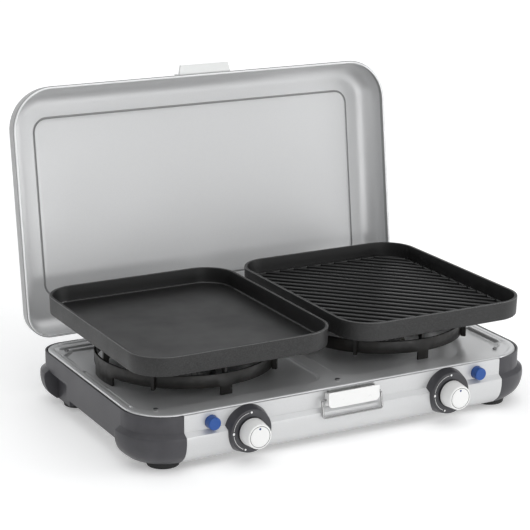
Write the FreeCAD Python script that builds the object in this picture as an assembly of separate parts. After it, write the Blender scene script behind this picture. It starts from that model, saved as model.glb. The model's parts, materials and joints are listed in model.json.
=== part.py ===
"""Folding camp grill: a two-burner gas hob in a low case, with a lid that leans back on
hinges, and a flat griddle plate and a ribbed grill plate standing on pan supports.

Frame: millimetres, +Z up, +X to the user's right, -Y towards the user. The origin is on
the surface that the feet stand on, under the middle of the whole object with its lid open.
Most pieces are made for the right-hand burner and mirrored for the left-hand one.
"""
import FreeCAD, Part
import math
import os

V = FreeCAD.Vector
X_AXIS = V(1, 0, 0)
Y_AXIS = V(0, 1, 0)
Z_AXIS = V(0, 0, 1)
FAR = 400.0                     # larger than any half space that a cut needs

# ---- driving dimensions -------------------------------------------------------------
HALF_WIDTH = 265.0              # case, across the rim
DEPTH = 300.0                   # case, front to back at the rim
FRONT_Y = -184.0
BACK_Y = FRONT_Y + DEPTH
FRONT_R = 53.0                  # plan radius of the front corners
BACK_R = 30.0
RIM_Z = 67.0                    # top of the hob's rim
WALL_TOP = 66.0                 # top of the case walls
CASE_BOTTOM = 8.0
JOINT_X = HALF_WIDTH - FRONT_R  # where the panels meet the end caps
BURNER_X = 134.0
BURNER_Y = -27.0
KNOB_Z = 38.5
LID_ANGLE = 7.36                # how far the open lid leans back, in degrees

# ---- sheet and wall thicknesses, gaps -----------------------------------------------
SHEET = 1.0
PANEL = 1.2
PLASTIC = 2.5
GAP = 0.3                       # between pieces that move apart
FIT = 0.05                      # radial clearance of a running fit

NODES = {}


# ---- small helpers --------------------------------------------------------------------
def box(x0, x1, y0, y1, z0, z1):
    return Part.makeBox(x1 - x0, y1 - y0, z1 - z0, V(x0, y0, z0))


def rod(radius, start, end):
    """Solid cylinder between two points."""
    return Part.makeCylinder(radius, (end - start).Length, start, end - start)


def tube(outer, inner, start, end):
    return rod(outer, start, end).cut(rod(inner, start, end))


def polygon(points):
    """Face of a closed polygon."""
    return Part.Face(Part.makePolygon(points + points[:1]))


def rounded_wire(corners, z):
    """Closed horizontal wire through (x, y, radius) corners, each rounded by an arc."""
    points = [V(x, y, z) for x, y, _ in corners]
    arcs = []
    for i, (_, _, radius) in enumerate(corners):
        here = points[i]
        before = (points[i - 1] - here).normalize()
        after = (points[(i + 1) % len(points)] - here).normalize()
        half = before.getAngle(after) / 2
        middle = (before + after).normalize()
        centre = here + middle * (radius / math.sin(half))
        reach = radius / math.tan(half)
        arcs.append((here + before * reach, centre - middle * radius, here + after * reach))
    edges = []
    for i, (start, mid, end) in enumerate(arcs):
        edges.append(Part.Arc(start, mid, end).toShape())
        edges.append(Part.LineSegment(end, arcs[(i + 1) % len(arcs)][0]).toShape())
    return Part.Wire(edges)


def slab(corners, z0, z1):
    return Part.Face(rounded_wire(corners, z0)).extrude(V(0, 0, z1 - z0))


def layers(outline, steps, ruled=True):
    """Solid through the plan outline(grow) at each (z, grow) step."""
    wires = [rounded_wire(outline(grow), z) for z, grow in steps]
    return Part.makeLoft(wires, True, ruled)


def united(shapes):
    return shapes[0].fuse(shapes[1:]).removeSplitter() if len(shapes) > 1 else shapes[0]


def mirrored(shape):
    return shape.mirror(V(0, 0, 0), X_AXIS)


def add(name, shape):
    NODES[name] = shape


def add_pair(name, right):
    """A right-hand piece and its mirror image on the left."""
    add(name + "_right", right)
    add(name + "_left", mirrored(right))


def both_sides(shape):
    """One shape with its mirror image, as separate solids."""
    return Part.makeCompound(shape.Solids + mirrored(shape).Solids)


def bent_pipe(outer, inner, points, bend):
    """Round pipe along straight runs joined by arcs of one radius."""
    edges = []
    last = points[0]
    for before, here, after in zip(points, points[1:], points[2:]):
        back = (before - here).normalize()
        ahead = (after - here).normalize()
        half = back.getAngle(ahead) / 2
        reach = bend / math.tan(half)
        middle = (back + ahead).normalize()
        crown = here + middle * (bend / math.sin(half) - bend)
        edges.append(Part.LineSegment(last, here + back * reach).toShape())
        last = here + ahead * reach
        edges.append(Part.Arc(here + back * reach, crown, last).toShape())
    edges.append(Part.LineSegment(last, points[-1]).toShape())
    path = Part.Wire(edges)
    direction = points[1] - points[0]

    def swept(radius):
        ring = Part.Wire(Part.makeCircle(radius, points[0], direction))
        return path.makePipeShell([ring], True, False)

    return swept(outer).cut(swept(inner)) if inner else swept(outer)


# ---- case ----------------------------------------------------------------------------
SHOULDER_Z = 42.0               # the step that runs round the case
SHOULDER_TOP = 46.0
BULGE = [(CASE_BOTTOM, -9.0), (13.0, -3.0), (20.0, 2.8), (28.0, 5.8), (36.0, 6.8), (SHOULDER_Z, 6.2)]


def case_plan(grow):
    """Corners of the case's plan, moved outward by grow."""
    half = HALF_WIDTH + grow
    front = (FRONT_Y - grow, FRONT_R + grow)
    back = (BACK_Y + grow, BACK_R + grow)
    return [(-half, *front), (half, *front), (half, *back), (-half, *back)]


def case_form(inset):
    """Outer form of the case with its bulging lower half, every wall moved in by inset."""
    lower = layers(case_plan, [(z, grow - inset) for z, grow in BULGE], ruled=False)
    shoulder = layers(case_plan, [(SHOULDER_Z, BULGE[-1][1] - inset), (SHOULDER_TOP, -inset)])
    upper = slab(case_plan(-inset), SHOULDER_TOP, WALL_TOP)
    return united([lower, shoulder, upper])


FORM = case_form(0)
FORM_PANEL = case_form(PANEL)
FORM_PLASTIC = case_form(PLASTIC)
PANEL_END = JOINT_X - 0.2
BUTTON_X, BUTTON_Z, BUTTON_R = 178.5, 54.0, 7.6
INLET_X, INLET_Z = 190.0, 38.5


def panel_strip(y0, y1):
    """The part of the case's skin between the end caps, from y0 to y1."""
    return FORM.cut(FORM_PANEL).common(box(-PANEL_END, PANEL_END, y0, y1, 0, WALL_TOP))


def front_panel():
    panel = panel_strip(FRONT_Y - 20, FRONT_Y + 12)
    lip = box(-PANEL_END, PANEL_END, FRONT_Y + 0.5, FRONT_Y + 2.6, WALL_TOP - PANEL, WALL_TOP)
    panel = panel.fuse(lip)
    for side in (-1, 1):
        x = side * BURNER_X
        panel = panel.cut(rod(6.0, V(x, FRONT_Y - 20, KNOB_Z), V(x, FRONT_Y + 20, KNOB_Z)))
        x = side * BUTTON_X
        panel = panel.cut(rod(BUTTON_R + 0.4, V(x, FRONT_Y - 20, BUTTON_Z), V(x, FRONT_Y + 20, BUTTON_Z)))
    return panel.removeSplitter()


def back_panel():
    panel = panel_strip(BACK_Y - 12, BACK_Y + 20)
    lip = box(-PANEL_END, PANEL_END, BACK_Y - 2.6, BACK_Y - 0.5, WALL_TOP - PANEL, WALL_TOP)
    hole = rod(7.0, V(INLET_X, BACK_Y - 20, INLET_Z), V(INLET_X, BACK_Y + 20, INLET_Z))
    return panel.fuse(lip).cut(hole).removeSplitter()


SKIRT_Z = 26.0                  # lower edge of the cap's side wall, between the feet
FRONT_LOBE_Y = -129.0           # the front foot reaches back to here
BACK_LOBE_Y = 79.0              # the back foot reaches forward to here
POD_Y = 44.0                    # the back foot's inner part reaches forward to here
GRIP_DEPTH = 11.0               # hand grip, cut into the side wall ahead of the back foot
GRIP = (26.0, 79.0, 43.5)       # its ends along Y, and its top


def foot_zones(inset):
    """The stretches of depth that the front and the back foot take up."""
    front = box(0, FAR, -FAR, FRONT_LOBE_Y - inset, 0, FAR)
    back = box(0, FAR, POD_Y + inset, FAR, 0, FAR)
    return front, back


def cap_form(inset):
    """Outer form of the right end cap, every wall moved in by inset; open on top when moved in."""
    bottom = CASE_BOTTOM + inset
    form = FORM_PLASTIC if inset else FORM
    wall = slab(case_plan(-inset), SKIRT_Z - inset, WALL_TOP + inset)
    front = form.common(box(0, FAR, -FAR, FRONT_LOBE_Y - inset, bottom, WALL_TOP))
    back = form.common(box(0, FAR, BACK_LOBE_Y + inset, FAR, bottom, WALL_TOP))
    pod = slab(case_plan(-GRIP_DEPTH - inset), bottom, GRIP[2] + inset).common(foot_zones(inset)[1])
    whole = united([wall, front, back, pod])
    edge = HALF_WIDTH - GRIP_DEPTH - inset
    grip = box(edge, FAR, GRIP[0] - inset, GRIP[1] + inset, 0, GRIP[2] + inset)
    beside_tray = box(JOINT_X - inset, FAR, -FAR, FAR, FOOT_TOP, FAR)
    under_tray = box(JOINT_X + inset, FAR, -FAR, FAR, 0, FOOT_TOP + 0.1)
    return whole.cut(grip).common(beside_tray.fuse(under_tray))


def foot_block(inset):
    """Inner half of the two feet, which reaches under the case floor; open on top."""
    block = slab(case_plan(-GRIP_DEPTH - 0.5 - inset), CASE_BOTTOM + inset, FOOT_TOP)
    block = block.common(box(FOOT_INNER_X + inset, FAR, -FAR, FAR, 0, FAR))
    return united([block.common(zone) for zone in foot_zones(inset)])


TRAY_Z = 24.0
TRAY_WALL = 33.0
FOOT_TOP = TRAY_Z - 0.5         # the feet's inner halves end just under the case floor
FOOT_INNER_X = 198.0
FOOT_R = 20.0
FOOT_PLACES = [(222.0, -150.0, FOOT_R), (233.0, 70.0, FOOT_R - 2)]


def end_cap():
    outer = cap_form(0).fuse(foot_block(0))
    inner = cap_form(PLASTIC).fuse(foot_block(PLASTIC))
    cap = outer.cut(inner).removeSplitter()
    for x, y, _ in FOOT_PLACES:
        cap = cap.cut(rod(2.1, V(x, y, 0), V(x, y, 20)))
    return cap


def feet():
    """Rubber pads with a recess for their screws."""
    pads = []
    for x, y, radius in FOOT_PLACES:
        pad = Part.makeCone(radius - 1.5, radius, CASE_BOTTOM, V(x, y, 0))
        pads.append(pad.cut(rod(5.0, V(x, y, 0), V(x, y, 3.0))).cut(rod(2.1, V(x, y, 0), V(x, y, 9))))
    return both_sides(Part.makeCompound(pads))


def foot_screws():
    screws = []
    for x, y, _ in FOOT_PLACES:
        head = rod(4.2, V(x, y, 1.0), V(x, y, 3.0))
        screws.append(head.fuse(rod(2.0, V(x, y, 3.0), V(x, y, 18.0))))
    return both_sides(Part.makeCompound(screws))


def base_tray():
    """Sheet floor of the case, with air slots under each burner."""
    tray = slab(case_plan(-3.2), TRAY_Z, TRAY_WALL).cut(slab(case_plan(-3.2 - SHEET), TRAY_Z + SHEET, FAR))
    feet_room = box(JOINT_X - GAP, FAR, -FAR, FRONT_LOBE_Y + GAP, 0, FAR)
    back_room = box(JOINT_X - GAP, FAR, POD_Y - GAP, FAR, 0, FAR)
    grip_room = box(HALF_WIDTH - GRIP_DEPTH - PLASTIC - GAP, FAR, GRIP[0] - PLASTIC - GAP, FAR, 0, FAR)
    corners = united([feet_room, back_room, grip_room])
    tray = tray.cut(corners).cut(mirrored(corners))
    tray = tray.cut(box(-FAR, FAR, BACK_Y - 6, BACK_Y, TRAY_Z + 3, TRAY_WALL + 1))
    slots = []
    for row in range(7):
        y = BURNER_Y - 36 + 12 * row
        slots.append(box(BURNER_X - 30, BURNER_X + 30, y - 2, y + 2, TRAY_Z - 1, TRAY_Z + 3))
    return tray.cut(both_sides(Part.makeCompound(slots)))


# ---- hob sheet -----------------------------------------------------------------------
HOB_INSET = 3.6                 # the sheet sits inside the case walls
RIM_WIDTH = 6.0
DECK_Z = 65.0                   # level of the sheet inside its rim
PAN_WELL_Z = 62.0               # level of the shallow field round each burner
WELL_R = 70.0
WELL_FLOOR_R = 46.0
WELL_Z = 56.0
BURNER_HOLE_R = 37.0
SKIRT_END = 62.2                # lower edge of the sheet's turned-down rim


def field_plan(grow):
    """Field round the right burner: square bridge side, chamfered back, rounded front."""
    left, right = 12.0 - grow, 246.0 + grow
    front, back = -147.0 - grow, 84.0 + grow
    cut = 14.0
    return [(left, front, 8.0), (right, front, 34.0), (right, back - cut, 3.0),
            (right - cut, back, 3.0), (left + cut, back, 3.0), (left, back - cut, 3.0)]


def bead(start, end, radius, height):
    """Raised bead between two points on the deck, with round ends."""
    along = (end - start).normalize()
    side = along.cross(Z_AXIS)
    block = [start + side * radius, end + side * radius, end - side * radius, start - side * radius]
    low = V(0, 0, DECK_Z - 3)
    face = polygon([point + low for point in block])
    body = face.extrude(V(0, 0, height + 3))
    ends = [rod(radius, point + low, point + V(0, 0, DECK_Z + height)) for point in (start, end)]
    return united([body] + ends)


def hob_form(skin):
    """Upper form of the sheet; its lower form is the same with every face moved by skin."""
    plan = slab(case_plan(-HOB_INSET - skin), 40, RIM_Z - skin)
    deck = layers(case_plan, [(DECK_Z - skin, -HOB_INSET - RIM_WIDTH - 3 + skin),
                              (RIM_Z - skin + 0.5, -HOB_INSET - RIM_WIDTH + skin)])
    form = plan.cut(deck)
    for side in (-1, 1):
        field = layers(field_plan, [(PAN_WELL_Z - skin, -2 + skin), (DECK_Z - skin + 0.5, skin)])
        centre = V(BURNER_X, BURNER_Y, WELL_Z - skin)
        depth = PAN_WELL_Z - WELL_Z + 0.5
        well = Part.makeCone(WELL_FLOOR_R + skin, WELL_R + skin, depth, centre)
        hollow = field.fuse(well)
        form = form.cut(hollow if side > 0 else mirrored(hollow))
    return united([form] + hob_beads(skin))


def hob_beads(skin):
    beads = [bead(V(-245, 95, 0), V(245, 95, 0), 6.5 - skin, 2.2 - skin)]
    for side in (-1, 1):
        beads.append(bead(V(side * 251, 74, 0), V(side * 251, 12, 0), 3.0 - skin, 1.8 - skin))
        beads.append(bead(V(side * 251, -66, 0), V(side * 251, -128, 0), 2.4 - skin, 1.6 - skin))
    return beads


HOB_SCREWS = [(230.0, -149.0), (0.0, -157.0), (240.0, 84.7), (0.0, 84.7)]
HOB_SCREW_R = 2.9


def screw_places():
    """Hob screw centres on both sides, the middle ones once."""
    places = []
    for x, y in HOB_SCREWS:
        places.append((x, y))
        if x:
            places.append((-x, y))
    return places


def hob_top_sheet():
    sheet = hob_form(0).cut(hob_form(SHEET))
    inside = [slab(case_plan(0), SKIRT_END, RIM_Z)]
    for side in (-1, 1):
        inside.append(slab(field_plan(2), WELL_Z - 2, SKIRT_END) if side > 0
                      else mirrored(slab(field_plan(2), WELL_Z - 2, SKIRT_END)))
    sheet = sheet.common(united(inside))
    for side in (-1, 1):
        centre = V(side * BURNER_X, BURNER_Y, 50)
        sheet = sheet.cut(rod(BURNER_HOLE_R, centre, centre + Z_AXIS * 30))
        spark = V(side * (BURNER_X + ELECTRODE_OUT), BURNER_Y, 50)
        sheet = sheet.cut(rod(4.2, spark, spark + Z_AXIS * 30))
        drain = V(side * 250, 4, 50)
        sheet = sheet.cut(rod(2.6, drain, drain + Z_AXIS * 30))
    for x, y in screw_places():
        sheet = sheet.cut(rod(2.1, V(x, y, 50), V(x, y, 70)))
    return sheet


def hob_screws():
    screws = []
    for x, y in screw_places():
        head = rod(HOB_SCREW_R, V(x, y, DECK_Z), V(x, y, DECK_Z + 1.4))
        arm = HOB_SCREW_R - 1.1
        socket = box(x - arm, x + arm, y - 0.4, y + 0.4, DECK_Z + 0.8, DECK_Z + 2)
        cross = box(x - 0.4, x + 0.4, y - arm, y + arm, DECK_Z + 0.8, DECK_Z + 2)
        shank = rod(2.0, V(x, y, DECK_Z - 10), V(x, y, DECK_Z))
        screws.append(head.cut(socket).cut(cross).fuse(shank))
    return Part.makeCompound(screws)


# ---- burner, gas train and ignition --------------------------------------------------
ELECTRODE_OUT = 41.0            # spark electrode, from the burner's centre
BOWL_R = 30.0
BOWL_Z = (44.0, 60.0)
HEAD_TOP = 70.0
CAP_TOP = 74.5
VALVE_Y = (-176.0, -150.0)
INJECTOR_END = -143.0
MIXER_START = -141.0


def ring_at_burner(outer, inner, z0, z1):
    return tube(outer, inner, V(BURNER_X, BURNER_Y, z0), V(BURNER_X, BURNER_Y, z1))


def burner_body():
    """Cast bowl with the mixing tube that leads gas and air into it."""
    low, high = BOWL_Z
    centre = V(BURNER_X, BURNER_Y, 0)
    bowl = rod(BOWL_R, centre + Z_AXIS * low, centre + Z_AXIS * high)
    mouth = V(BURNER_X, MIXER_START, KNOB_Z)
    inner_end = V(BURNER_X, BURNER_Y, KNOB_Z)
    mixer = rod(9.0, mouth, inner_end).fuse(Part.makeSphere(9.0, inner_end))
    neck = rod(9.0, inner_end, inner_end + Z_AXIS * 10)
    flare = Part.makeCone(12.0, 9.0, 8.0, mouth, Y_AXIS)
    solid = united([bowl, mixer, neck, flare])
    hollow = rod(BOWL_R - PLASTIC, centre + Z_AXIS * (low + PLASTIC), centre + Z_AXIS * (high + 1))
    bore = united([rod(6.5, mouth - Y_AXIS, inner_end), Part.makeSphere(6.5, inner_end),
                   rod(6.5, inner_end, inner_end + Z_AXIS * 12)])
    return solid.cut(hollow).cut(bore).cut(Part.makeCone(10.5, 6.5, 8.0, mouth, Y_AXIS))


def burner_head():
    """Ring with flame ports round its side."""
    head = ring_at_burner(BOWL_R + 2, BOWL_R - 6, BOWL_Z[1], HEAD_TOP)
    port = box(-0.9, 0.9, BOWL_R - 12, BOWL_R + 6, BOWL_Z[1] + 3, HEAD_TOP - 3)
    port.translate(V(BURNER_X, BURNER_Y, 0))
    count = 30
    ports = []
    for i in range(count):
        turned = port.copy()
        turned.rotate(V(BURNER_X, BURNER_Y, 0), Z_AXIS, 360.0 * i / count)
        ports.append(turned)
    return head.cut(Part.makeCompound(ports))


def burner_cap():
    centre = V(BURNER_X, BURNER_Y, HEAD_TOP)
    plate = rod(BOWL_R + 1, centre, centre + Z_AXIS * 2)
    crown = Part.makeCone(BOWL_R + 1, BOWL_R - 8, CAP_TOP - HEAD_TOP - 2, centre + Z_AXIS * 2)
    skirt = ring_at_burner(BOWL_R - 6.2, BOWL_R - 8, HEAD_TOP - 4, HEAD_TOP)
    return united([plate, crown, skirt])


def burner_clip():
    """Strap that carries the burner bowl on the case floor."""
    x0, x1 = BURNER_X - 8, BURNER_X + 8
    foot = TRAY_Z + SHEET
    post_y = BURNER_Y + 20
    top = box(x0, x1, post_y, post_y + 22, BOWL_Z[0] - 1.2, BOWL_Z[0])
    leg = box(x0, x1, post_y + 20.8, post_y + 22, foot, BOWL_Z[0])
    toe = box(x0, x1, post_y + 20.8, post_y + 36, foot, foot + 1.2)
    return united([top, leg, toe])


def spark_electrode():
    foot = V(BURNER_X + ELECTRODE_OUT, BURNER_Y, 0)
    ceramic = rod(3.2, foot + Z_AXIS * 44, foot + Z_AXIS * 64)
    collar = rod(4.4, foot + Z_AXIS * 50, foot + Z_AXIS * 53)
    tip = bent_pipe(0.9, 0, [foot + Z_AXIS * 63, foot + Z_AXIS * 68, foot + V(-5, 0, 68)], 2.5)
    return united([ceramic, collar, tip])


SPINDLE_R = 3.0
PLUNGER_R = 5.0
KNOB_PUSH = 3.0


def gas_valve():
    y0, y1 = VALVE_Y
    x, z = BURNER_X, KNOB_Z
    block = box(x - 9, x + 9, y0 + 6, y1, z - 9, z + 9)
    nose = rod(7.5, V(x, y0, z), V(x, y0 + 8, z))
    body = united([block, nose])
    bore = rod(PLUNGER_R + FIT, V(x, y0 - 1, z), V(x, y0 + 16, z))
    outlet = rod(1.5, V(x, y0, z), V(x, y1 + 1, z))
    ways = rod(2.6, V(x - 10, PIPE_Y, z), V(x + 10, PIPE_Y, z))
    return body.cut(bore).cut(outlet).cut(ways)


def valve_bracket():
    """Angle that carries the valve on the case floor."""
    x, z = BURNER_X, KNOB_Z
    foot = TRAY_Z + SHEET
    post = box(x - 14, x - 9.1, VALVE_Y[1] - 12, VALVE_Y[1], foot, z - 4)
    post = post.cut(box(x - 12.6, x - 9.0, VALVE_Y[1] - 20, VALVE_Y[1] + 1, foot + 1.4, z))
    return united([post, box(x - 14, x + 9, VALVE_Y[1] - 12, VALVE_Y[1], z - 10.4, z - 9)])


def valve_plunger():
    """Sleeve that the pushed spindle carries inside the valve."""
    y = VALVE_Y[0] + 3
    x, z = BURNER_X, KNOB_Z
    return tube(PLUNGER_R, SPINDLE_R + FIT, V(x, y, z), V(x, y + 7, z))


def valve_spindle():
    x, z = BURNER_X, KNOB_Z
    return rod(SPINDLE_R, V(x, KNOB_FACE_Y + 8, z), V(x, VALVE_Y[0] + 11, z))


PIPE_Y = -157.0


def injector():
    x, z = BURNER_X, KNOB_Z
    nut = rod(5.0, V(x, VALVE_Y[1], z), V(x, VALVE_Y[1] + 3.5, z))
    nozzle = Part.makeCone(3.6, 2.4, INJECTOR_END - VALVE_Y[1] - 3.5, V(x, VALVE_Y[1] + 3.5, z), Y_AXIS)
    return nut.fuse(nozzle).cut(rod(0.6, V(x, VALVE_Y[1] - 1, z), V(x, INJECTOR_END + 1, z)))


def gas_pipe_main():
    z = INLET_Z
    points = [V(INLET_X, BACK_Y - 8, z), V(INLET_X, PIPE_Y, z), V(BURNER_X + 9, PIPE_Y, z)]
    return bent_pipe(3.5, 2.5, points, 14.0)


def gas_pipe_cross():
    z = KNOB_Z
    return tube(3.5, 2.5, V(-BURNER_X + 9, PIPE_Y, z), V(BURNER_X - 9, PIPE_Y, z))


INLET_END = BACK_Y + 24.0
INLET_R = 6.6                   # major radius of a G1/4 thread


def gas_inlet_fitting():
    """Threaded stub for the gas hose, with its nut on the back panel."""
    x, z = INLET_X, INLET_Z
    body = rod(INLET_R, V(x, BACK_Y - 8, z), V(x, INLET_END, z))
    nut = rod(10.0, V(x, BACK_Y + 7.4, z), V(x, BACK_Y + 10.4, z))
    fitting = united([body, nut])
    return fitting.cut(rod(2.5, V(x, BACK_Y - 9, z), V(x, INLET_END + 1, z)))


BUTTON_FACE_Y = FRONT_Y - 10.0
BUTTON_TRAVEL = 5.0


def igniter_button():
    start = V(BUTTON_X, BUTTON_FACE_Y, BUTTON_Z)
    button = rod(BUTTON_R, start, V(BUTTON_X, -170, BUTTON_Z))
    rim = [edge for edge in button.Edges if abs(edge.BoundBox.YMax - BUTTON_FACE_Y) < 0.01]
    return button.makeFillet(1.4, rim)


def igniter_body():
    """Piezo igniter: a barrel behind the panel that the button slides in."""
    front, back = -179.0, -148.0
    x, z = BUTTON_X, BUTTON_Z
    barrel = rod(9.0, V(x, front, z), V(x, back, z))
    bore = rod(BUTTON_R + GAP, V(x, front - 1, z), V(x, -170 + BUTTON_TRAVEL + 1, z))
    tail = rod(3.0, V(x, back, z), V(x, back + 6, z))
    return barrel.cut(bore).fuse(tail)


def ignition_lead():
    top = BUTTON_Z
    low = 46.0
    points = [V(BUTTON_X, -142, top), V(BUTTON_X, -122, top), V(BUTTON_X, -100, low),
              V(BUTTON_X, BURNER_Y, low)]
    return bent_pipe(1.3, 0, points, 9.0)


# ---- knobs and bezels ----------------------------------------------------------------
BEZEL_R = 28.4
BEZEL_FACE_R = 25.4
BEZEL_FACE_Y = FRONT_Y - 11.8
RECESS_R = 17.4
KNOB_FACE_Y = -216.1
KNOB_BASE_Y = FRONT_Y - 13.4
KNOB_R = 16.4
KNOB_FACE_R = 14.6


def knob_bezel():
    """Flared, flat-faced disc that stands on the panel, with a recess that the knob sinks into."""
    x, z = BURNER_X, KNOB_Z
    face = V(x, BEZEL_FACE_Y, z)
    disc = Part.makeCone(BEZEL_FACE_R, BEZEL_R, FRONT_Y - BEZEL_FACE_Y, face, Y_AXIS)
    rim = [edge for edge in disc.Edges if abs(edge.BoundBox.YMax - BEZEL_FACE_Y) < 0.01]
    disc = disc.makeFillet(0.8, rim)
    foot = rod(BEZEL_R, V(x, FRONT_Y, z), V(x, FRONT_Y + 8, z)).common(box(0, FAR, -FAR, FAR, 0, z - 10))
    bezel = disc.fuse(foot).cut(FORM)
    recess_floor = KNOB_BASE_Y + KNOB_PUSH + 0.6
    recess = rod(RECESS_R, face - Y_AXIS, V(x, recess_floor, z))
    return bezel.cut(recess).cut(rod(6.0, V(x, -FAR, z), V(x, 0, z)))


def knob():
    """Tapered grip with a thin ring cut into its face and a bore for the spindle."""
    start = V(BURNER_X, KNOB_FACE_Y, KNOB_Z)
    length = KNOB_BASE_Y - KNOB_FACE_Y
    grip = Part.makeCone(KNOB_FACE_R, KNOB_R, length, start, Y_AXIS)
    face_edge = [edge for edge in grip.Edges if abs(edge.BoundBox.YMax - KNOB_FACE_Y) < 0.01]
    grip = grip.makeFillet(1.5, face_edge)
    groove = tube(12.6, 12.0, start - Y_AXIS, start + Y_AXIS * 0.5)
    hollow = tube(KNOB_R - 3.0, 6.0, start + Y_AXIS * 8, start + Y_AXIS * (length + 1))
    bore = rod(SPINDLE_R, start + Y_AXIS * 8, start + Y_AXIS * (length + 1))
    return grip.cut(groove).cut(hollow).cut(bore)


# ---- latch ---------------------------------------------------------------------------
LATCH_PIVOT = (FRONT_Y - 4.5, 62.0)
BAIL_PIVOT = (FRONT_Y - 5.5, 56.5)
LATCH_HALF = 34.0
LATCH_Z = (47.5, 66.0)            # lower and upper edge of the lever's plate
LATCH_FACE_Y = FRONT_Y - 11.7
LEVER_THICK = 1.4
EAR_X = 31.0
EAR_R = 2.8
PIN_R = 1.5
WIRE_R = 1.25
BAIL_HALF = 39.5


def latch_bracket():
    """Plate on the front panel with two ears for the lever's pins."""
    y, z = LATCH_PIVOT
    plate = box(-EAR_X - 1.5, EAR_X + 1.5, FRONT_Y - PANEL, FRONT_Y, 47.0, 65.5)
    pieces = [plate]
    for side in (-EAR_X, EAR_X):
        pieces.append(box(side - 0.75, side + 0.75, y, FRONT_Y - 0.5, 55, z))
        pieces.append(rod(EAR_R, V(side - 0.75, y, z), V(side + 0.75, y, z)))
    bracket = united(pieces)
    return bracket.cut(rod(PIN_R + FIT, V(-FAR, y, z), V(FAR, y, z)))


def latch_lever():
    """Pressed lever plate with side returns and its two pivot pins."""
    y, z = LATCH_PIVOT
    low, high = LATCH_Z
    corners = [(-LATCH_HALF, low, 6.0), (LATCH_HALF, low, 6.0), (LATCH_HALF, high, 1.2),
               (-LATCH_HALF, high, 1.2)]
    plate = slab(corners, 0, LEVER_THICK)
    plate.rotate(V(0, 0, 0), X_AXIS, 90)
    plate.translate(V(0, LATCH_FACE_Y + LEVER_THICK, 0))
    pieces = [plate]
    for side in (-1, 1):
        edge = side * LATCH_HALF
        x0, x1 = sorted((edge, edge - side * LEVER_THICK))
        pieces.append(box(x0, x1, LATCH_FACE_Y + 1, FRONT_Y - 2.5, low + 6, high - 2))
        pieces.append(rod(PIN_R, V(edge, y, z), V(side * (EAR_X - 1.5), y, z)))
    lever = united(pieces)
    y, z = BAIL_PIVOT
    return lever.cut(rod(WIRE_R + FIT, V(-FAR, y, z), V(FAR, y, z)))


def latch_bail():
    """Bent wire loop that hooks over the lid's catch."""
    y, z = BAIL_PIVOT
    low = V(0, FRONT_Y - 10.0, 36.4)
    end = LATCH_HALF - LEVER_THICK - GAP
    points = [V(-end, y, z), V(-BAIL_HALF, y, z), V(-BAIL_HALF, low.y, low.z),
              V(BAIL_HALF, low.y, low.z), V(BAIL_HALF, y, z), V(end, y, z)]
    return bent_pipe(WIRE_R, 0, points, 2.4)


# ---- lid -----------------------------------------------------------------------------
LID_HALF = 264.8
LID_LENGTH = 309.2
LID_DEPTH = 38.0
LID_FILLET = 25.0
LID_FOOT = V(0, 141.84, 65.17)  # lower edge of the lid's opening, when the lid is open
HINGE_Y, HINGE_Z = 131.4, 58.0
HINGE_X = 170.0
HINGE_PIN_R = 2.0
KNUCKLE_R = 4.5


def lid_plan(grow):
    """Lid outline lying flat: y runs from the hinge edge up to the latch edge."""
    half = LID_HALF + grow
    near = (-grow, BACK_R + grow)
    far = (LID_LENGTH + grow, FRONT_R + grow)
    return [(-half, *near), (half, *near), (half, *far), (-half, *far)]


def stand_up(shape):
    """From the flat lid frame to the open lid: opening towards the user."""
    placed = shape.copy()
    placed.rotate(V(0, 0, 0), X_AXIS, 90 - LID_ANGLE)
    placed.translate(LID_FOOT)
    return placed


def tray_form(inset):
    """Lid as a solid block with its back edges rounded."""
    depth = LID_DEPTH - inset
    block = slab(lid_plan(-inset), -depth, inset)
    low = [edge for edge in block.Edges if edge.BoundBox.ZMax < -depth + 0.01]
    return block.makeFillet(LID_FILLET - inset, low)


EMBOSS = (226.0, 42.0, 269.0, 18.0)     # half width, lower and upper edge, corner radius
EMBOSS_STEP = 1.2


def emboss_plan(grow):
    half, low, high, radius = EMBOSS
    radius += grow
    return [(-half - grow, low - grow, radius), (half + grow, low - grow, radius),
            (half + grow, high + grow, radius), (-half - grow, high + grow, radius)]


def lid_shell():
    """Deep tray with a rolled rim and a pressed rectangle in its back."""
    floor = -LID_DEPTH
    step_out = layers(emboss_plan, [(floor - 0.001, 0), (floor + EMBOSS_STEP, -1.0)])
    step_in = layers(emboss_plan, [(floor + SHEET - 0.001, 0), (floor + SHEET + EMBOSS_STEP, -1.0)])
    shell = tray_form(0).cut(step_out).cut(tray_form(SHEET).cut(step_in))
    bead_outer = slab(lid_plan(1.0), -3.4, 0)
    bead_edges = [edge for edge in bead_outer.Edges
                  if edge.BoundBox.ZMax < -3.39 or edge.BoundBox.ZMin > -0.01]
    rim = bead_outer.makeFillet(1.3, bead_edges).cut(slab(lid_plan(-2.0), -5, 1))
    return shell.common(box(-FAR, FAR, -FAR, FAR, -FAR, 0)).fuse(rim).removeSplitter()


TAB_HALF = 36.0
TAB_END = 4.0                   # width of the end walls, before the taper trims them
TAB_TAPER = 2.6


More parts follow.
